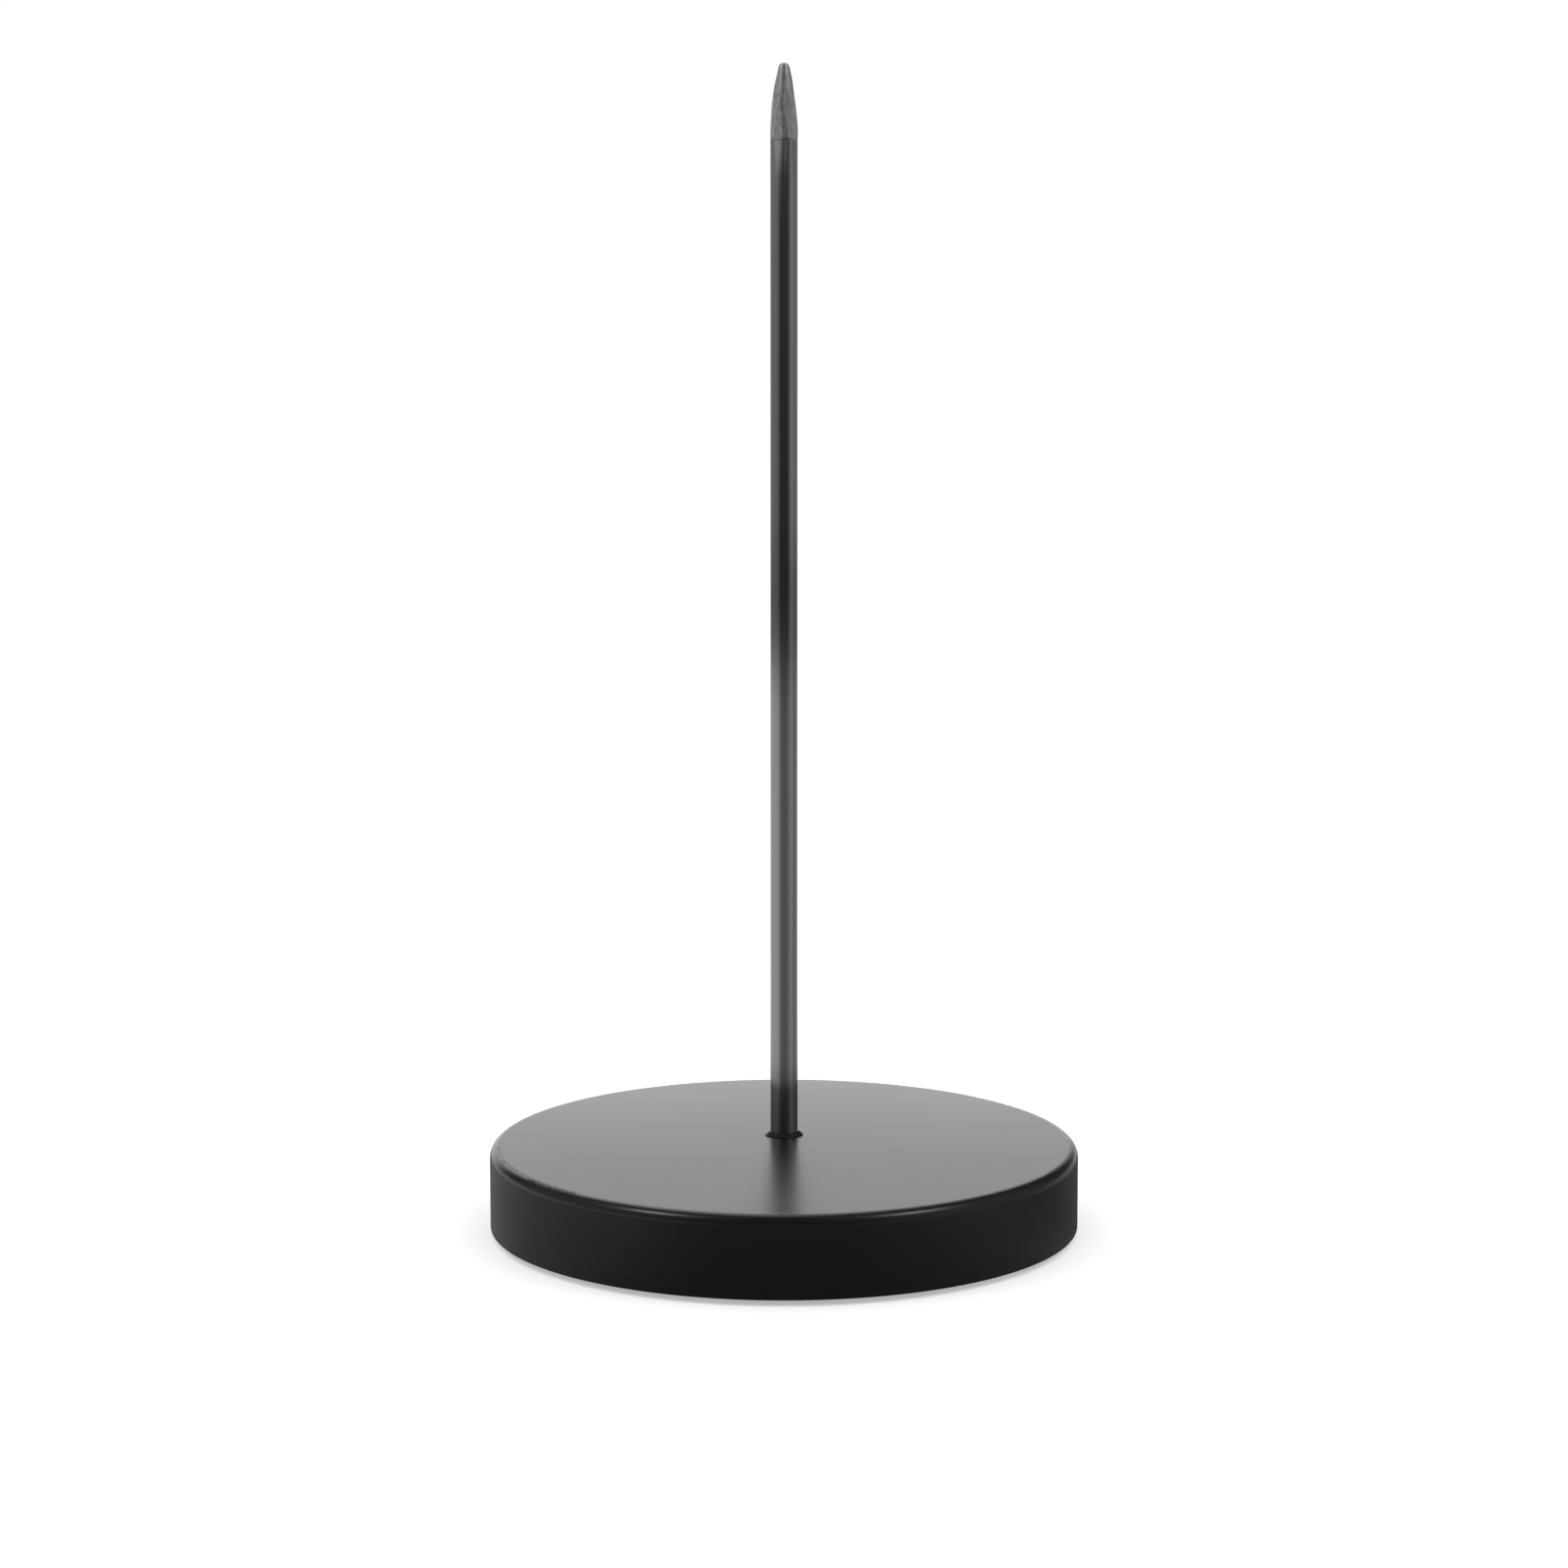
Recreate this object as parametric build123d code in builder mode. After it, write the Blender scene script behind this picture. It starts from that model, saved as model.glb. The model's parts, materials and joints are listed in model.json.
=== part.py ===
from build123d import *
from math import asin, cos, degrees, radians, sqrt
import os

os.makedirs("parts", exist_ok=True)

# Bill spike: a pointed steel rod that stands on a round, weighted plastic base.
# Millimetres, +Z up. The origin is the middle of the underside, where the pad meets the desk.

# Outer form of the base
base_diameter = 80.0
crown = 1.3  # how far the top face rises from its edge to the spike
rim_radius = 1.5  # rounded edge between the top face and the side
foot_edge_radius = 0.2
side_wall = 2.2
top_wall = 2.0  # at the edge; the crown adds to it in the middle
inner_corner_radius = 0.8

# Spike
spike_height = 144.4  # from the middle of the base's top face to the point
rod_diameter = 3.7
point_length = 9.5
point_blunting = 0.75  # radius of the rounded end of the point
cover_hole_clearance = 0.1  # round the thread

# Collar of the cover, a small moulded cone that the rod's shoulder stands on
collar_diameter = 5.2
collar_lip = 0.1  # upright edge at the foot of the cone
collar_height = 0.6
collar_top_width = 0.15  # flat ring left round the rod

# Thread of the spike's tail and of the nut, a 60 degree vee with a flat crest
thread_diameter = 3.0
thread_pitch = 0.5
thread_chamfer = 0.35
thread_relief = 0.6  # plain neck between the thread and the rod's shoulder
thread_crest_share = 0.125  # flat of the crest, as a share of the pitch
thread_land_share = 0.25  # flat left between two ridges at the root
thread_radial_clearance = 0.05
thread_flank_clearance = 0.03
ridge_sink = 0.04  # how far a ridge reaches into the core that it joins

# Weight plate, a stamped steel disc pressed up against the cover's ceiling
weight_thickness = 3.5
weight_side_gap = 1.8
weight_hole_clearance = 0.2
weight_edge_radius = 0.4

# Washers and nut that clamp cover and plate under the rod's shoulder
washer_diameter = 7.0
washer_thickness = 0.5
washer_clearance = 0.1
spring_washer_diameter = 6.2
spring_washer_thickness = 0.8
spring_washer_slit = 0.5
nut_across_flats = 5.5
nut_height = 1.8
nut_chamfer = 0.2
thread_past_nut = 0.3
tail_room = 0.3  # between the spike's lower end and the bottom cover

# Bottom cover, let into the base cover and held by three screws
bottom_cover_thickness = 1.2
bottom_cover_clearance = 0.2
bottom_cover_lead_in = 0.3
screw_count = 3
boss_diameter = 7.0
boss_to_wall = 4.3
boss_clearance = 0.3  # round each boss where it passes through the weight plate
well_wall = 1.4  # plastic round each sunk screw head
screw_head_diameter = 4.8
screw_head_height = 1.6
screw_head_edge = 0.5
screw_head_clearance = 0.2
screw_seat_thickness = 0.9
screw_length = 5.0
screw_shank_diameter = 2.0
screw_point_length = 1.2
screw_point_flat = 0.15
screw_hole_clearance = 0.35
pilot_clearance = 0.05
pilot_spare_depth = 0.3
recess_width = 0.7  # each arm of the cross recess
recess_span = 2.7
recess_depth = 1.0
recess_taper = 12.0  # degrees

# Anti-slip pad, a foam disc glued under the bottom cover
pad_thickness = 1.5
pad_recess = 0.7  # how deep the pad's glued face lies inside the base cover's rim
pad_side_gap = 1.3
pad_edge_radius = 0.35

# Heights of the stack, from the desk upwards
rim_low = pad_thickness - pad_recess
bottom_cover_low = pad_thickness
bottom_cover_high = bottom_cover_low + bottom_cover_thickness
tail_end = bottom_cover_high + tail_room
nut_low = tail_end + thread_past_nut
spring_washer_low = nut_low + nut_height
washer_low = spring_washer_low + spring_washer_thickness
weight_low = washer_low + washer_thickness
ceiling = weight_low + weight_thickness
rim_high = ceiling + top_wall
base_top = rim_high + crown
collar_high = base_top + collar_height
spike_tip = base_top + spike_height
screw_seat = bottom_cover_low + screw_head_height + screw_head_clearance
well_top = screw_seat + screw_seat_thickness
screw_head_low = screw_seat - screw_head_height
screw_tip = screw_seat + screw_length

# Radii and holes that follow from the sizes above
base_radius = base_diameter / 2
inner_radius = base_radius - side_wall
screw_circle_radius = inner_radius - boss_to_wall - boss_diameter / 2
rod_radius = rod_diameter / 2
collar_radius = collar_diameter / 2
thread_radius = thread_diameter / 2
ridge_half_width = thread_pitch * (1 - thread_land_share) / 2
crest_half_width = thread_pitch * thread_crest_share / 2
sunk_half_width = ridge_half_width + ridge_sink / sqrt(3)
thread_depth = (ridge_half_width - crest_half_width) * sqrt(3)
thread_root_radius = thread_radius - thread_depth
thread_low = tail_end - thread_pitch
screw_shank_radius = screw_shank_diameter / 2
screw_head_radius = screw_head_diameter / 2
well_radius = screw_head_radius + screw_head_clearance + well_wall


def helical_ridge(root, crest, flank_gap, high):
    """A thread's ridge on its own, wound from thread_low up to a height and wider by a gap on each flank."""
    path = Helix(pitch=thread_pitch, height=high - thread_low, radius=root, center=(0, 0, thread_low))
    with BuildPart() as ridge:
        with BuildSketch(Plane(origin=path @ 0, x_dir=(1, 0, 0), z_dir=path % 0)):
            with BuildLine():
                Polyline(
                    (-ridge_sink, -sunk_half_width - flank_gap),
                    (crest - root, -crest_half_width - flank_gap),
                    (crest - root, crest_half_width + flank_gap),
                    (-ridge_sink, sunk_half_width + flank_gap),
                    close=True,
                )
            make_face()
        sweep(path=path, is_frenet=True)
    return ridge.part


# Base cover: a moulded cap with a slightly crowned top face, open underneath, with a collar
# where the spike stands on it and three screw bosses under its ceiling
with BuildPart() as base_cover:
    with BuildSketch(Plane.XZ) as cover_outline:
        with BuildLine():
            TangentArc((0, base_top), (base_radius, rim_high), tangent=(1, 0))
            Polyline((base_radius, rim_high), (base_radius, rim_low), (0, rim_low), (0, base_top))
        make_face()
        top_corner = cover_outline.vertices().sort_by_distance((base_radius, rim_high))[0]
        fillet(top_corner, radius=rim_radius)
        foot_corner = cover_outline.vertices().sort_by_distance((base_radius, rim_low))[0]
        fillet(foot_corner, radius=foot_edge_radius)
    revolve(axis=Axis.Z)
    with BuildSketch(Plane.XZ):
        with BuildLine():
            Polyline(
                (0, rim_high),
                (collar_radius, rim_high),
                (collar_radius, base_top + collar_lip),
                (rod_radius + collar_top_width, collar_high),
                (0, collar_high),
                close=True,
            )
        make_face()
    revolve(axis=Axis.Z)
    with BuildSketch(Plane.XY.offset(rim_low)):
        Circle(inner_radius)
    extrude(amount=ceiling - rim_low, mode=Mode.SUBTRACT)
    fillet(base_cover.edges(Select.LAST).sort_by(Axis.Z)[-1], radius=inner_corner_radius)
    with BuildSketch(Plane.XY.offset(well_top)):
        with PolarLocations(screw_circle_radius, screw_count):
            Circle(boss_diameter / 2)
    extrude(amount=ceiling - well_top)
    with BuildSketch(Plane.XY.offset(well_top)):
        with PolarLocations(screw_circle_radius, screw_count):
            Circle(screw_shank_radius + pilot_clearance)
    extrude(amount=screw_tip + pilot_spare_depth - well_top, mode=Mode.SUBTRACT)
    with BuildSketch(Plane.XY.offset(ceiling)):
        Circle(thread_radius + cover_hole_clearance)
    extrude(amount=collar_high - ceiling, mode=Mode.SUBTRACT)
base_cover.part.label = "base_cover"
export_step(base_cover.part, "parts/base_cover.step")


# Weight plate: a steel disc that the three bosses and the spike's thread pass through
with BuildPart() as weight_plate:
    with BuildSketch(Plane.XY.offset(weight_low)):
        Circle(inner_radius - weight_side_gap)
        Circle(thread_radius + weight_hole_clearance, mode=Mode.SUBTRACT)
        with PolarLocations(screw_circle_radius, screw_count):
            Circle(boss_diameter / 2 + boss_clearance, mode=Mode.SUBTRACT)
    extrude(amount=weight_thickness)
    plate_rim = weight_plate.edges().filter_by(GeomType.CIRCLE).sort_by(SortBy.RADIUS)[-2:]
    fillet(plate_rim, radius=weight_edge_radius)
weight_plate.part.label = "weight_plate"
export_step(weight_plate.part, "parts/weight_plate.step")


# Spike: one turned steel piece, from the threaded tail past the rod's shoulder to the point.
# The point is an ogive, an arc that leaves the rod without a corner and meets the blunt end.
# The tail starts as a blank one thread too long, and is cut to length with its chamfer.
ogive_height = point_length - point_blunting
ogive_radius = (rod_radius**2 + ogive_height**2 - point_blunting**2) / (2 * (rod_radius - point_blunting))
ogive_low = spike_tip - point_length
ogive_turn = degrees(asin(ogive_height / (ogive_radius - point_blunting)))
blank_end = thread_low - thread_pitch

with BuildPart() as spike:
    with BuildSketch(Plane.XZ):
        with BuildLine():
            Polyline(
                (0, spike_tip),
                (0, blank_end),
                (thread_root_radius, blank_end),
                (thread_root_radius, collar_high),
                (rod_radius, collar_high),
                (rod_radius, ogive_low),
            )
            CenterArc((rod_radius - ogive_radius, ogive_low), ogive_radius, 0, ogive_turn)
            CenterArc((0, spike_tip - point_blunting), point_blunting, ogive_turn, 90 - ogive_turn)
        make_face()
    revolve(axis=Axis.Z)
    add(helical_ridge(thread_root_radius, thread_radius, 0, collar_high - thread_relief))
    with BuildSketch(Plane.XZ):
        with BuildLine():
            Polyline(
                (0, tail_end),
                (thread_radius - thread_chamfer, tail_end),
                (thread_radius + thread_chamfer, tail_end + 2 * thread_chamfer),
                (thread_radius + thread_chamfer, blank_end - thread_pitch),
                (0, blank_end - thread_pitch),
                close=True,
            )
        make_face()
    revolve(axis=Axis.Z, mode=Mode.SUBTRACT)
spike.part.label = "spike"
export_step(spike.part, "parts/spike.step")


# Flat washer under the weight plate
with BuildPart() as flat_washer:
    with BuildSketch(Plane.XY.offset(washer_low)):
        Circle(washer_diameter / 2)
        Circle(thread_radius + washer_clearance, mode=Mode.SUBTRACT)
    extrude(amount=washer_thickness)
flat_washer.part.label = "flat_washer"
export_step(flat_washer.part, "parts/flat_washer.step")


# Spring washer: a split ring, pressed flat between the flat washer and the nut
with BuildPart() as spring_washer:
    with BuildSketch(Plane.XY.offset(spring_washer_low)):
        Circle(spring_washer_diameter / 2)
        Circle(thread_radius + washer_clearance, mode=Mode.SUBTRACT)
        with Locations((spring_washer_diameter / 2, 0)):
            Rectangle(spring_washer_diameter, spring_washer_slit, mode=Mode.SUBTRACT)
    extrude(amount=spring_washer_thickness)
spring_washer.part.label = "spring_washer"
export_step(spring_washer.part, "parts/spring_washer.step")


# Hex nut, threaded to match the spike: both faces are turned off at the width of the flats
nut_bore_radius = thread_root_radius + thread_radial_clearance
nut_flat_radius = nut_across_flats / 2
nut_corner_radius = nut_flat_radius / cos(radians(30))
nut_high = nut_low + nut_height

with BuildPart() as hex_nut:
    with BuildSketch(Plane.XY.offset(nut_low)):
        RegularPolygon(nut_flat_radius, 6, major_radius=False)
        Circle(nut_bore_radius, mode=Mode.SUBTRACT)
    extrude(amount=nut_height)
    with BuildSketch(Plane.XZ):
        with BuildLine():
            Polyline(
                (0, nut_low),
                (nut_flat_radius, nut_low),
                (nut_corner_radius, nut_low + nut_chamfer),
                (nut_corner_radius, nut_high - nut_chamfer),
                (nut_flat_radius, nut_high),
                (0, nut_high),
                close=True,
            )
        make_face()
    revolve(axis=Axis.Z, mode=Mode.INTERSECT)
    groove_radius = thread_radius + thread_radial_clearance
    groove = helical_ridge(nut_bore_radius, groove_radius, thread_flank_clearance, nut_high + thread_pitch)
    add(groove, mode=Mode.SUBTRACT)
hex_nut.part.label = "hex_nut"
export_step(hex_nut.part, "parts/hex_nut.step")


# Bottom cover: a disc with three raised wells that meet the base cover's bosses.
# Each well sinks a screw head, so that the pad lies flat over it.
with BuildPart() as bottom_cover:
    with BuildSketch(Plane.XY.offset(bottom_cover_low)):
        Circle(inner_radius - bottom_cover_clearance)
    extrude(amount=bottom_cover_thickness)
    chamfer(bottom_cover.edges().group_by(Axis.Z)[-1], length=bottom_cover_lead_in)
    with BuildSketch(Plane.XY.offset(bottom_cover_low)):
        with PolarLocations(screw_circle_radius, screw_count):
            Circle(well_radius)
    extrude(amount=well_top - bottom_cover_low)
    with BuildSketch(Plane.XY.offset(bottom_cover_low)):
        with PolarLocations(screw_circle_radius, screw_count):
            Circle(screw_head_radius + screw_head_clearance)
    extrude(amount=screw_seat - bottom_cover_low, mode=Mode.SUBTRACT)
    with BuildSketch(Plane.XY.offset(bottom_cover_low)):
        with PolarLocations(screw_circle_radius, screw_count):
            Circle(screw_shank_radius + screw_hole_clearance)
    extrude(amount=well_top - bottom_cover_low, mode=Mode.SUBTRACT)
bottom_cover.part.label = "bottom_cover"
export_step(bottom_cover.part, "parts/bottom_cover.step")


# Cover screws: three alike, pan heads down, with a cross recess and a pointed shank
with BuildPart() as cover_screws:
    with BuildSketch(Plane.XY.offset(screw_head_low)):
        with PolarLocations(screw_circle_radius, screw_count):
            Circle(screw_head_radius)
    extrude(amount=screw_head_height)
    fillet(cover_screws.edges().group_by(Axis.Z)[0], radius=screw_head_edge)
    with BuildSketch(Plane.XY.offset(screw_seat)):
        with PolarLocations(screw_circle_radius, screw_count):
            Circle(screw_shank_radius)
    extrude(amount=screw_length)
    chamfer(
        cover_screws.edges().group_by(Axis.Z)[-1],
        length=screw_point_length,
        length2=screw_shank_radius - screw_point_flat,
    )
    with BuildSketch(Plane.XY.offset(screw_head_low)):
        with PolarLocations(screw_circle_radius, screw_count):
            Rectangle(recess_span, recess_width)
            Rectangle(recess_width, recess_span)
    extrude(amount=recess_depth, taper=recess_taper, mode=Mode.SUBTRACT)
cover_screws.part.label = "cover_screws"
export_step(cover_screws.part, "parts/cover_screws.step")


# Anti-slip pad: a foam disc that holds the rim off the desk
with BuildPart() as anti_slip_pad:
    with BuildSketch():
        Circle(inner_radius - pad_side_gap)
    extrude(amount=pad_thickness)
    fillet(anti_slip_pad.edges().group_by(Axis.Z)[0], radius=pad_edge_radius)
anti_slip_pad.part.label = "anti_slip_pad"
export_step(anti_slip_pad.part, "parts/anti_slip_pad.step")
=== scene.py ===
import json
import math
import random

import bpy
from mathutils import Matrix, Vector


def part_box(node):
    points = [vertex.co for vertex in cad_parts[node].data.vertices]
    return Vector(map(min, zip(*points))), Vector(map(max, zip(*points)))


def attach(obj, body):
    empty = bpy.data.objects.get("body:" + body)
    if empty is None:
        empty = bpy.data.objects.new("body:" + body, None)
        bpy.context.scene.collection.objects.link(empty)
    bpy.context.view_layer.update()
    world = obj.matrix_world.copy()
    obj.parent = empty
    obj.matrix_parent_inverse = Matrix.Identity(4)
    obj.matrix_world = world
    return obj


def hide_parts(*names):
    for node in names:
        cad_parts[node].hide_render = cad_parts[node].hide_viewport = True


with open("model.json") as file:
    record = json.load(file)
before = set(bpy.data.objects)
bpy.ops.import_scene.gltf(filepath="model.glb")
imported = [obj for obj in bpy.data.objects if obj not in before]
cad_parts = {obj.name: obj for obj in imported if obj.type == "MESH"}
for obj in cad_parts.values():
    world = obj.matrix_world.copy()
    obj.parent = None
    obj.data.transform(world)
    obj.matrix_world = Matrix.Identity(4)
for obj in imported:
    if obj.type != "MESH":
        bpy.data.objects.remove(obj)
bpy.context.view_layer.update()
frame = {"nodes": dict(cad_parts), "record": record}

MM = 0.001

# Sizes that come with the frame
_, cover_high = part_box("base_cover")
spike_low, spike_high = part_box("spike")
pad_low, pad_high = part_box("anti_slip_pad")
shaft = next(m for m in frame["record"]["mounts"] if m["name"] == "spike_shaft")
COLLAR_TOP = cover_high.z
BASE_RADIUS = cover_high.x
ROD_RADIUS = shaft["dims"]["r_mm"] * MM
TIP_Z = spike_high.z
TAIL_Z = spike_low.z

# Sizes of the spike's details, as in the CAD model
POINT_LENGTH = 9.5 * MM
POINT_BLUNTING = 0.75 * MM
COLLAR_HEIGHT = 0.6 * MM
THREAD_RADIUS = 1.5 * MM
THREAD_PITCH = 0.5 * MM
THREAD_DEPTH = 0.2706 * MM
THREAD_CREST_SHARE = 0.125
THREAD_LAND_SHARE = 0.25
THREAD_RELIEF = 0.6 * MM
THREAD_CHAMFER = 0.35 * MM

# The point's hand-ground facets, as planes that shave it, with their tilt in radians
FACET_SEED = 4
FACET_COUNT = 70
FACET_SPAN = (0.02, 1.0)
FACET_DEPTH = (0.02 * MM, 0.06 * MM)
FACET_TILT = 0.035
FACET_FACING = 0.3

# How finely the turned pieces are divided
SPIKE_SEGMENTS = 160
STEPS_PER_PITCH = 12
SHAFT_STEPS = 24
POINT_STEPS = 110
BLUNT_STEPS = 16
PAD_SEGMENTS = 256
PAD_RINGS = 24
PAD_LOW_STEPS = 8
PAD_HIGH_STEPS = 6
SHARP_ANGLE = math.radians(40)

# The pad's pressed edge, as shares of its thickness
PAD_LOW_ROUNDING = 0.4
PAD_HIGH_ROUNDING = 0.2

# The finish of the surfaces: where most of a noise's values lie, and what they are carried to
NOISE_SPREAD = (0.3, 0.7)
COVER_COLOUR = (0.0035, 0.0035, 0.0037)
COVER_ROUGHNESS = 0.29
COVER_UNEVENNESS = 0.01
COVER_WAVES = 2.0
WEIGHT_COLOUR = (0.42, 0.42, 0.43)
WEIGHT_ROUGHNESS = 0.45
WEIGHT_BLOTCHES = 300
ZINC_COLOUR = (0.66, 0.67, 0.69)
ZINC_ROUGHNESS = 0.35
ZINC_BLOTCHES = 900
STEEL_UNEVENNESS = 0.08
FOAM_COLOUR = (0.02, 0.02, 0.021)
FOAM_CELLS = 3500.0
ROD_GREY = 0.58
ROD_ROUGHNESS = (0.07, 0.11)
ROD_RELIEF = 0.07
GROUND_GREY = (0.65, 1.0)
GROUND_ROUGHNESS = (0.4, 0.55)
GROUND_END = (9.7 * MM, 10.1 * MM)
GROUND_WAVE = 1.2 * MM

# What the gloss sees round the object, as (place, level) stops from straight behind it (0) to
# straight in front (1), for the left and the right side: the white backdrop on the floor and
# above it, the walls mirrored in the far floor and seen above the horizon, and the table
BACKDROP = ([(0.14, 1.0), (0.22, 0.0)], [(0.14, 1.0), (0.22, 0.0)])
BACKDROP_ABOVE = ([(0.12, 1.0), (0.2, 0.0)], [(0.05, 1.0), (0.12, 0.0)])
WALLS_LEFT = [(0.5, 0.19), (0.61, 0.17), (0.72, 0.15), (0.8, 0.05), (0.86, 0.03)]
WALLS_RIGHT = [(0.5, 0.18), (0.61, 0.25), (0.72, 0.17), (0.8, 0.05), (0.86, 0.03)]
WALLS = ([(0.2, 0.2), *WALLS_LEFT], [(0.2, 0.2), *WALLS_RIGHT])
WALLS_ABOVE = (
    [(0.2, 0.03), (0.27, 0.05), (0.36, 0.17), *WALLS_LEFT],
    [(0.2, 0.03), (0.27, 0.05), (0.36, 0.16), *WALLS_RIGHT],
)
TABLE = (
    [(0.2, 0.45), (0.6, 0.42), (0.72, 0.38), (0.8, 0.24), (0.88, 0.13), (1.0, 0.12)],
    [(0.2, 0.3), (0.35, 0.2), (0.5, 0.18), (0.61, 0.27), (0.72, 0.25), (0.82, 0.15), (0.9, 0.12)],
)
SIDE_SEAM = 0.001

# How the studio changes upwards, by the Z of a unit direction: the walls start over the table and
# are darker low down, the backdrop dims in its middle, and a dark ceiling starts overhead and
# closes towards the front, by the direction's Y
WALLS_START = (0.075, 0.105)
WALLS_BAND = [(0.10, 0.4), (0.17, 0.4), (0.22, 1.0)]
BACKDROP_BAND = [(0.13, 0.93), (0.17, 0.87), (0.21, 0.7), (0.29, 0.75), (0.33, 0.9), (0.36, 1.0)]
CEILING_RISE = (0.4, 0.7)
CEILING_DEPTH = (0.6, -0.4)
CEILING_LEVEL = 0.03
PLAIN_LEVEL = 0.9

# The floor: its greys, and what the gloss sees in it by the distance from the spike, with a painted shadow
# that darkens its glossy emission near the base
FLOOR_HALF_SIDE = 5.0
FLOOR_GREY = 0.8
FLOOR_LIFT = 0.4
PAINTED_SHADE_END = (BASE_RADIUS + 45 * MM, BASE_RADIUS + 65 * MM)
PAINTED_SHADE_LEVEL = 0.42
BACKDROP_START = (BASE_RADIUS + 40 * MM, BASE_RADIUS + 120 * MM)
TABLE_END = (500 * MM, 600 * MM)
DIM_WALLS_END = (700 * MM, 900 * MM)
DIM_WALLS_LEVEL = 0.6

# The two soft lights, one on each side
SOFTBOX_DIRECTION = (0.57, -0.24, 0.78)
SOFTBOX_DISTANCE = 0.6
SOFTBOX_SIZE = 0.12
SOFTBOX_WATTS = 0.25

# Camera: in front of the spike and above it, so that the picture is the photograph's upper left
# copy, its square from x 196 to 796 and y 14 to 614
CAMERA_DISTANCE = 656.5 * MM
CAMERA_ABOVE_BASE = 157.6 * MM
CAMERA_PITCH = math.radians(9.45)
FOCAL_PIXELS = 1893.0
CROP_PIXELS = 600.0
SENSOR_MM = 36.0


def node(tree, kind, inputs=None, **settings):
    """A new shader node with its settings, and its inputs linked or set."""
    made = tree.nodes.new(kind)
    for key, value in settings.items():
        setattr(made, key, value)
    for key, value in (inputs or {}).items():
        if isinstance(value, bpy.types.NodeSocket):
            tree.links.new(value, made.inputs[key])
        else:
            made.inputs[key].default_value = value
    return made


def math_node(tree, operation, *values):
    """The result of a Math node on sockets or numbers."""
    return node(tree, "ShaderNodeMath", dict(enumerate(values)), operation=operation).outputs[0]


def ramp(tree, fac, stops):
    """The grey value of a colour ramp with (position, level) stops."""
    made = node(tree, "ShaderNodeValToRGB", {"Fac": fac})
    elements = made.color_ramp.elements
    while len(elements) < len(stops):
        elements.new(0.5)
    for element, (position, level) in zip(elements, stops):
        element.position = position
        element.color = (level, level, level, 1)
    return made.outputs["Color"]


def mix(tree, factor, low, high):
    """A blend of two levels."""
    return node(tree, "ShaderNodeMix", {0: factor, 2: low, 3: high}, data_type="FLOAT").outputs[0]


def map_range(tree, value, span, low, high, kind="LINEAR"):
    """A value carried from a span to the levels at its ends, and held beyond them."""
    inputs = {0: value, 1: span[0], 2: span[1], 3: low, 4: high}
    return node(tree, "ShaderNodeMapRange", inputs, interpolation_type=kind).outputs[0]


def mix_shader(tree, factor, low, high):
    """A blend of two shader nodes."""
    return node(tree, "ShaderNodeMixShader", {0: factor, 1: low.outputs[0], 2: high.outputs[0]})


def new_material(name):
    """An empty node material, its tree and its output."""
    material = bpy.data.materials.new(name)
    material.use_nodes = True
    tree = material.node_tree
    tree.nodes.clear()
    return material, tree, node(tree, "ShaderNodeOutputMaterial")


def surface(name, build):
    """A material whose Principled shader takes the inputs that build makes from its coordinates."""
    material, tree, out = new_material(name)
    at = node(tree, "ShaderNodeTexCoord").outputs["Object"]
    shader = node(tree, "ShaderNodeBsdfPrincipled", build(tree, at))
    tree.links.new(shader.outputs[0], out.inputs["Surface"])
    return material


def noise(tree, vector, scale, detail, roughness=0.5):
    """A noise texture whose scale counts its blotches to a metre."""
    inputs = {"Vector": vector, "Scale": scale, "Detail": detail, "Roughness": roughness}
    return node(tree, "ShaderNodeTexNoise", inputs).outputs["Fac"]


def spread(tree, value, low, high):
    """A noise carried to the levels from low to high."""
    return map_range(tree, value, NOISE_SPREAD, low, high)


def stretched(tree, vector, scale):
    """Coordinates stretched along the axes, for drawn and brushed marks."""
    return node(tree, "ShaderNodeMapping", {"Vector": vector, "Scale": scale}).outputs[0]


def bump(tree, height, distance, strength):
    """The normal of a surface with this relief."""
    inputs = {"Height": height, "Distance": distance, "Strength": strength}
    return node(tree, "ShaderNodeBump", inputs).outputs[0]


def satin_plastic(name, colour, level):
    """Black moulded plastic: fine spark-eroded grain over faint waves, and a slightly uneven gloss."""

    def build(tree, at):
        grain = noise(tree, at, scale=5000, detail=1)
        waves = noise(tree, at, scale=120, detail=0)
        relief = math_node(tree, "ADD", grain, math_node(tree, "MULTIPLY", waves, COVER_WAVES))
        mottle = noise(tree, at, scale=60, detail=1)
        return {
            "Base Color": (*colour, 1),
            "Roughness": spread(tree, mottle, level - COVER_UNEVENNESS, level + COVER_UNEVENNESS),
            "IOR": 1.55,
            "Coat Weight": 0.75,
            "Coat Roughness": 0.28,
            "Coat IOR": 1.5,
            "Normal": bump(tree, relief, distance=0.002 * MM, strength=0.08),
        }

    return surface(name, build)


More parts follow.
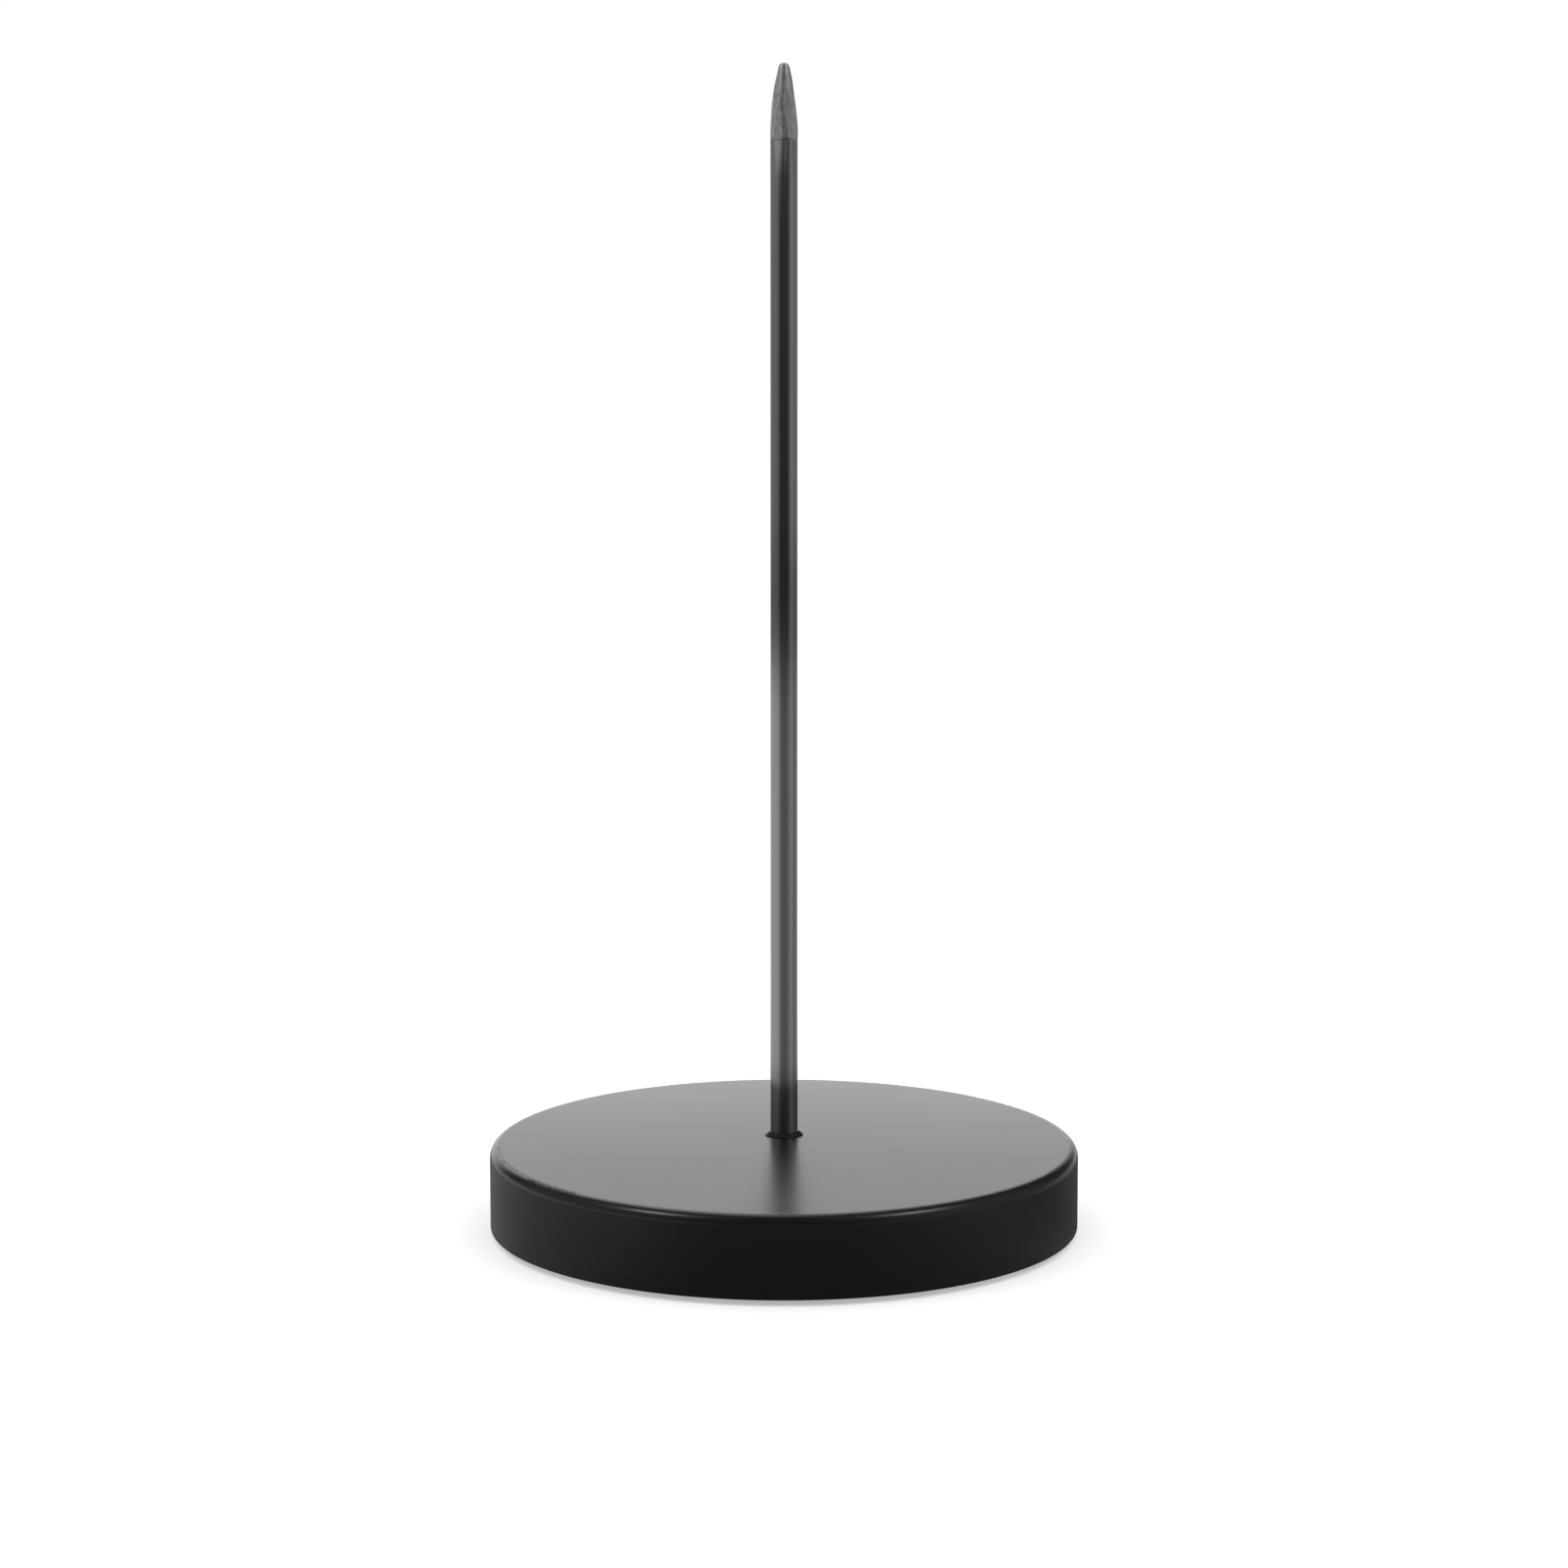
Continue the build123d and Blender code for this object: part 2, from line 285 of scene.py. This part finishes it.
def polished_steel(name):
    """Drawn and polished steel rod whose point is ground: the finish changes at a slightly wavy line."""

    def build(tree, at):
        height = node(tree, "ShaderNodeSeparateXYZ", {0: at}).outputs["Z"]
        ripple = math_node(tree, "SUBTRACT", noise(tree, at, scale=500, detail=1), 0.5)
        wavy = math_node(tree, "ADD", height, math_node(tree, "MULTIPLY", ripple, GROUND_WAVE))
        ground = map_range(tree, math_node(tree, "SUBTRACT", TIP_Z, wavy), GROUND_END, 1.0, 0.0)
        lines = noise(tree, stretched(tree, at, (1, 1, 0.01)), scale=9000, detail=2)
        pits = noise(tree, stretched(tree, at, (1, 1, 0.5)), scale=2200, detail=3, roughness=0.7)
        rod_rough = spread(tree, lines, *ROD_ROUGHNESS)
        ground_rough = spread(tree, pits, *GROUND_ROUGHNESS)
        relief = mix(tree, ground, math_node(tree, "MULTIPLY", lines, ROD_RELIEF), pits)
        return {
            "Base Color": mix(tree, ground, ROD_GREY, spread(tree, pits, *GROUND_GREY)),
            "Metallic": 1.0,
            "Roughness": mix(tree, ground, rod_rough, ground_rough),
            "Normal": bump(tree, relief, distance=0.03 * MM, strength=0.5),
        }

    return surface(name, build)


def plain_steel(name, colour, level, scale):
    """Rolled or zinc-plated steel of the inner pieces, with a fine blotchy surface."""

    def build(tree, at):
        blotch = noise(tree, at, scale=scale, detail=4, roughness=0.6)
        marks = noise(tree, stretched(tree, at, (1, 0.05, 1)), scale=scale * 6, detail=2)
        return {
            "Base Color": (*colour, 1),
            "Metallic": 1.0,
            "Roughness": spread(tree, blotch, level - STEEL_UNEVENNESS, level + STEEL_UNEVENNESS),
            "Normal": bump(tree, marks, distance=0.01 * MM, strength=0.5),
        }

    return surface(name, build)


def foam(name):
    """Black closed-cell foam: a fine pitted skin."""

    def build(tree, at):
        cells = node(tree, "ShaderNodeTexVoronoi", {"Vector": at, "Scale": FOAM_CELLS}).outputs["Distance"]
        return {
            "Base Color": (*FOAM_COLOUR, 1),
            "Roughness": 0.9,
            "Normal": bump(tree, cells, distance=0.05 * MM, strength=0.8),
        }

    return surface(name, build)


def lathe(name, profile, segments, shape=None):
    """A closed mesh turned about Z from (radius, height) points that start and end on the axis.
    A shape function may change each point's radius by its angle and height."""
    vertices = []
    rings = []
    for radius, height in profile:
        count = segments if radius > 0 else 1
        rings.append([len(vertices) + i for i in range(count)])
        for i in range(count):
            angle = 2 * math.pi * i / segments
            out = shape(radius, angle, height) if shape and radius > 0 else radius
            vertices.append((out * math.cos(angle), out * math.sin(angle), height))
    faces = []
    for low, high in zip(rings, rings[1:]):
        for i in range(segments):
            j = (i + 1) % segments
            corners = [low[i % len(low)], low[j % len(low)], high[j % len(high)], high[i % len(high)]]
            faces.append(list(dict.fromkeys(corners)))
    mesh = bpy.data.meshes.new(name)
    mesh.from_pydata(vertices, [], faces)
    mesh.shade_smooth()
    mesh.set_sharp_from_angle(angle=SHARP_ANGLE)
    piece = bpy.data.objects.new(name, mesh)
    bpy.context.scene.collection.objects.link(piece)
    return piece


def arc(centre, radius, start, end, steps):
    """Points of a circle's arc in the profile's plane, angles in radians."""
    angles = [start + (end - start) * i / steps for i in range(steps + 1)]
    return [(centre[0] + radius * math.cos(a), centre[1] + radius * math.sin(a)) for a in angles]


def run(start, end, steps):
    """Evenly spaced points from one place to another, both included."""
    return [
        (start[0] + (end[0] - start[0]) * i / steps, start[1] + (end[1] - start[1]) * i / steps)
        for i in range(steps + 1)
    ]


def ogive():
    """The point's arc: its radius and how far it turns before the blunt end takes over."""
    rise = POINT_LENGTH - POINT_BLUNTING
    radius = (ROD_RADIUS**2 + rise**2 - POINT_BLUNTING**2) / (2 * (ROD_RADIUS - POINT_BLUNTING))
    return radius, math.asin(rise / (radius - POINT_BLUNTING))


def spike_profile():
    """The spike's outline from its lower end to its point, with fine steps at the thread and the facets."""
    root = THREAD_RADIUS - THREAD_DEPTH
    radius, turn = ogive()
    straight_high = TIP_Z - POINT_LENGTH
    thread_high = COLLAR_TOP - THREAD_RELIEF
    thread_steps = round((thread_high - TAIL_Z) / THREAD_PITCH * STEPS_PER_PITCH)
    points = [(0, TAIL_Z), *run((root, TAIL_Z), (root, thread_high), thread_steps), (root, COLLAR_TOP)]
    points += run((ROD_RADIUS, COLLAR_TOP), (ROD_RADIUS, straight_high), SHAFT_STEPS)
    points += arc((ROD_RADIUS - radius, straight_high), radius, 0, turn, POINT_STEPS)[1:]
    points += arc((0, TIP_Z - POINT_BLUNTING), POINT_BLUNTING, turn, math.pi / 2, BLUNT_STEPS)[1:-1]
    points.append((0, TIP_Z))
    return points


def thread_rise(angle, height):
    """How far the thread stands above its root: a helical 60 degree ridge with a flat crest."""
    turns = (height - TAIL_Z) / THREAD_PITCH - angle / (2 * math.pi)
    away = abs(turns - round(turns))
    crest = THREAD_CREST_SHARE / 2
    foot = (1 - THREAD_LAND_SHARE) / 2
    return THREAD_DEPTH * min(1, max(0, (foot - away) / (foot - crest)))


def ground_facets():
    """Planes that shave the point, as hand grinding leaves them: each normal with its distance."""
    chance = random.Random(FACET_SEED)
    radius, turn = ogive()
    planes = []
    for _ in range(FACET_COUNT):
        around = chance.uniform(0, 2 * math.pi)
        up = turn * chance.uniform(*FACET_SPAN)
        out = ROD_RADIUS - radius + radius * math.cos(up)
        height = TIP_Z - POINT_LENGTH + radius * math.sin(up)
        place = Vector((out * math.cos(around), out * math.sin(around), height))
        lean = up + chance.gauss(0, FACET_TILT)
        level = math.cos(lean)
        normal = Vector((level * math.cos(around), level * math.sin(around), math.sin(lean)))
        planes.append((normal, normal.dot(place) - chance.uniform(*FACET_DEPTH)))
    return planes


def make_spike():
    """The rod as one turned piece: threaded tail, polished shaft and ground point."""
    planes = ground_facets()
    thread_high = COLLAR_TOP - THREAD_RELIEF
    ground_low = TIP_Z - POINT_LENGTH

    def shape(radius, angle, height):
        if height < thread_high:
            chamfered = THREAD_RADIUS - THREAD_CHAMFER + (height - TAIL_Z)
            return min(radius + thread_rise(angle, height), chamfered)
        if height < ground_low:
            return radius
        for normal, distance in planes:
            facing = normal.x * math.cos(angle) + normal.y * math.sin(angle)
            if facing > FACET_FACING:
                radius = min(radius, (distance - normal.z * height) / facing)
        return radius

    piece = lathe("spike_rod", spike_profile(), SPIKE_SEGMENTS, shape)
    piece.data.materials.append(polished_steel("spike_steel"))
    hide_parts("spike")
    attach(piece, "root")


def make_pad():
    """The foam pad: a disc whose edge is slightly pressed out where it carries the base."""
    radius = pad_high.x
    thickness = pad_high.z - pad_low.z
    low = thickness * PAD_LOW_ROUNDING
    high = thickness * PAD_HIGH_ROUNDING
    points = [(0, pad_low.z)]
    points += [(radius * i / PAD_RINGS, pad_low.z) for i in range(1, PAD_RINGS - 1)]
    points += arc((radius - low, pad_low.z + low), low, -math.pi / 2, 0, PAD_LOW_STEPS)
    points += arc((radius - high, pad_high.z - high), high, 0, math.pi / 2, PAD_HIGH_STEPS)
    points.append((0, pad_high.z))
    piece = lathe("foam_pad", points, PAD_SEGMENTS)
    piece.data.materials.append(foam("pad_foam"))
    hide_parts("anti_slip_pad")
    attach(piece, "root")


def dress(material, *names):
    """Gives carried-over CAD nodes their finish."""
    for name in names:
        piece = frame["nodes"][name]
        piece.data.materials.clear()
        piece.data.materials.append(material)


def round_the_object(tree, axes, left, right):
    """A level by direction round the object, 0 straight behind it and 1 in front, for each side."""
    turn = math_node(tree, "ARCTAN2", math_node(tree, "ABSOLUTE", axes["X"]), axes["Y"])
    share = math_node(tree, "DIVIDE", turn, math.pi)
    side = map_range(tree, axes["X"], (-SIDE_SEAM, SIDE_SEAM), 0.0, 1.0)
    return mix(tree, side, ramp(tree, share, left), ramp(tree, share, right))


def studio(tree, axes):
    """What the gloss sees of the room: table, walls, white backdrop and dark ceiling."""
    walls = round_the_object(tree, axes, *WALLS_ABOVE)
    table = round_the_object(tree, axes, *TABLE)
    above = map_range(tree, axes["Z"], WALLS_START, 0.0, 1.0)
    sides = mix(tree, above, table, math_node(tree, "MULTIPLY", walls, ramp(tree, axes["Z"], WALLS_BAND)))
    backdrop = round_the_object(tree, axes, *BACKDROP_ABOVE)
    room = mix(tree, backdrop, sides, ramp(tree, axes["Z"], BACKDROP_BAND))
    high_up = map_range(tree, axes["Z"], CEILING_RISE, 0.0, 1.0, kind="SMOOTHSTEP")
    in_front = map_range(tree, axes["Y"], CEILING_DEPTH, 0.0, 1.0)
    return mix(tree, math_node(tree, "MULTIPLY", high_up, in_front), room, CEILING_LEVEL)


def make_world():
    """White for the camera, a dim studio with a white backdrop for the gloss, plain light for the rest."""
    world = bpy.data.worlds.new("studio")
    bpy.context.scene.world = world
    world.use_nodes = True
    tree = world.node_tree
    tree.nodes.clear()
    out = node(tree, "ShaderNodeOutputWorld")
    path = node(tree, "ShaderNodeLightPath")
    at = node(tree, "ShaderNodeTexCoord").outputs["Generated"]
    axes = node(tree, "ShaderNodeSeparateXYZ", {0: at}).outputs
    mirror = node(tree, "ShaderNodeBackground", {"Color": studio(tree, axes), "Strength": 1.0})
    plain = node(tree, "ShaderNodeBackground", {"Color": (1, 1, 1, 1), "Strength": PLAIN_LEVEL})
    white = node(tree, "ShaderNodeBackground", {"Color": (1, 1, 1, 1), "Strength": 1.0})
    lit = mix_shader(tree, path.outputs["Is Glossy Ray"], plain, mirror)
    seen = mix_shader(tree, path.outputs["Is Camera Ray"], lit, white)
    tree.links.new(seen.outputs[0], out.inputs["Surface"])


def mirrored_floor(tree):
    """What the gloss sees in the floor, as emission: painted shade near the base, table and walls outwards,
    and the white backdrop.
    """
    at = node(tree, "ShaderNodeTexCoord").outputs["Object"]
    axes = node(tree, "ShaderNodeSeparateXYZ", {0: at}).outputs
    away = node(tree, "ShaderNodeVectorMath", {0: at}, operation="LENGTH").outputs["Value"]
    walls = math_node(
        tree,
        "MULTIPLY",
        round_the_object(tree, axes, *WALLS),
        map_range(tree, away, DIM_WALLS_END, DIM_WALLS_LEVEL, 1.0),
    )
    table = round_the_object(tree, axes, *TABLE)
    sides = mix(tree, map_range(tree, away, TABLE_END, 0.0, 1.0), table, walls)
    far = map_range(tree, away, BACKDROP_START, 0.0, 1.0, kind="SMOOTHSTEP")
    backdrop = math_node(tree, "MULTIPLY", round_the_object(tree, axes, *BACKDROP), far)
    # Painted shadow: the glossy emission is darkened near the base in place of a contact shadow
    painted_shade = map_range(tree, away, PAINTED_SHADE_END, PAINTED_SHADE_LEVEL, 1.0)
    return math_node(tree, "MULTIPLY", mix(tree, backdrop, sides, 1.0), painted_shade)


def make_floor():
    """A pale floor that the camera sees as white, with the object's shadow on it."""
    side = FLOOR_HALF_SIDE
    mesh = bpy.data.meshes.new("floor")
    corners = [(-side, -side, 0), (side, -side, 0), (side, side, 0), (-side, side, 0)]
    mesh.from_pydata(corners, [], [(0, 1, 2, 3)])
    floor = bpy.data.objects.new("floor", mesh)
    bpy.context.scene.collection.objects.link(floor)
    material, tree, out = new_material("floor")
    path = node(tree, "ShaderNodeLightPath")
    mirrored = node(tree, "ShaderNodeEmission", {"Color": mirrored_floor(tree)})
    pale = node(tree, "ShaderNodeBsdfDiffuse", {"Color": (FLOOR_GREY, FLOOR_GREY, FLOOR_GREY, 1)})
    lift = node(tree, "ShaderNodeEmission", {"Color": (1, 1, 1, 1), "Strength": FLOOR_LIFT})
    bright = node(tree, "ShaderNodeAddShader", {0: pale.outputs[0], 1: lift.outputs[0]})
    lit = mix_shader(tree, path.outputs["Is Glossy Ray"], pale, mirrored)
    seen = mix_shader(tree, path.outputs["Is Camera Ray"], lit, bright)
    tree.links.new(seen.outputs[0], out.inputs["Surface"])
    mesh.materials.append(material)


def make_softbox(side):
    """A square soft light on one side (-1 left, 1 right) that faces the object."""
    name = f"softbox_{side}"
    light = bpy.data.lights.new(name, "AREA")
    light.shape = "SQUARE"
    light.size = SOFTBOX_SIZE
    light.energy = SOFTBOX_WATTS
    box = bpy.data.objects.new(name, light)
    across, along, up = SOFTBOX_DIRECTION
    away = Vector((side * across, along, up)).normalized()
    box.location = away * SOFTBOX_DISTANCE
    box.rotation_euler = away.to_track_quat("Z", "Y").to_euler()
    box.visible_camera = False
    bpy.context.scene.collection.objects.link(box)


def make_camera():
    """The photograph's camera, level from side to side and looking slightly down."""
    data = bpy.data.cameras.new("camera")
    data.sensor_width = SENSOR_MM
    data.lens = SENSOR_MM * FOCAL_PIXELS / CROP_PIXELS
    camera = bpy.data.objects.new("camera", data)
    camera.location = (0, -CAMERA_DISTANCE, COLLAR_TOP - COLLAR_HEIGHT + CAMERA_ABOVE_BASE)
    camera.rotation_euler = (math.pi / 2 - CAMERA_PITCH, 0, 0)
    bpy.context.scene.collection.objects.link(camera)
    bpy.context.scene.camera = camera


make_camera()
make_world()
make_floor()
for side in (-1, 1):
    make_softbox(side)
make_spike()
make_pad()
dress(satin_plastic("cover_black", COVER_COLOUR, COVER_ROUGHNESS), "base_cover", "bottom_cover")
dress(plain_steel("weight_steel", WEIGHT_COLOUR, WEIGHT_ROUGHNESS, WEIGHT_BLOTCHES), "weight_plate")
zinc = plain_steel("zinc_steel", ZINC_COLOUR, ZINC_ROUGHNESS, ZINC_BLOTCHES)
dress(zinc, "flat_washer", "spring_washer", "hex_nut", "cover_screws")

bpy.context.scene.view_settings.view_transform = "Standard"
